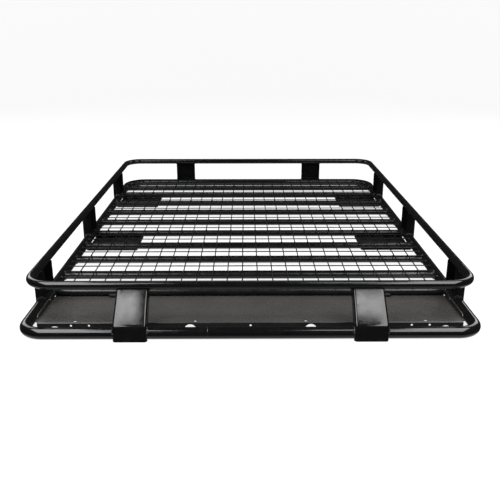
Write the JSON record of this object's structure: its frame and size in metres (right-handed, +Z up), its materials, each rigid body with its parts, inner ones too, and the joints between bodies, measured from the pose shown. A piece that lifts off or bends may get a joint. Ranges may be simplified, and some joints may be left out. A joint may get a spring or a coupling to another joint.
{
  "type": "roof cargo basket",
  "caption": "Flat steel roof basket: two tube rails joined by channel uprights, a wire floor on crossbars and a folded front deflector.",
  "frame": {"origin": "on the plane that the uprights' bottom edges stand on, under the middle of the basket", "axes": "+Z up, +Y to the rear, +X to the right seen from the front; the deflector is at -Y"},
  "size_m": [1.327, 1.863, 0.1445],
  "materials": {
    "rail_coat": "black powder coat, semi-gloss",
    "upright_coat": "black powder coat, semi-gloss",
    "crossbar_coat": "black powder coat, semi-gloss",
    "mesh_coat": "black powder coat, satin",
    "plate_coat": "black powder coat, satin",
    "panel_coat": "black powder coat, gloss",
    "screw_finish": "black oxide"
  },
  "bodies": {
    "root": {"lower_rail": "rail_coat", "upper_rail": "rail_coat", "upright_front_left": "upright_coat", "upright_front_right": "upright_coat", "upright_rear_left": "upright_coat", "upright_rear_right": "upright_coat", "upright_left_front": "upright_coat", "upright_left_middle": "upright_coat", "upright_left_rear": "upright_coat", "upright_right_front": "upright_coat", "upright_right_middle": "upright_coat", "upright_right_rear": "upright_coat", "crossbar_1": "crossbar_coat", "crossbar_2": "crossbar_coat", "crossbar_3": "crossbar_coat", "crossbar_4": "crossbar_coat", "crossbar_5": "crossbar_coat", "crossbar_6": "crossbar_coat", "crossbar_7": "crossbar_coat", "crossbar_8": "crossbar_coat", "crossbar_9": "crossbar_coat", "crossbar_10": "crossbar_coat", "floor_mesh": "mesh_coat", "mount_plate_left_front": "plate_coat", "mount_plate_left_rear": "plate_coat", "mount_plate_right_front": "plate_coat", "mount_plate_right_rear": "plate_coat", "deflector_panel": "panel_coat", "deflector_bracket_left": "plate_coat", "deflector_bracket_right": "plate_coat", "deflector_screw_left": "screw_finish", "deflector_screw_right": "screw_finish"}
  },
  "joints": []
}
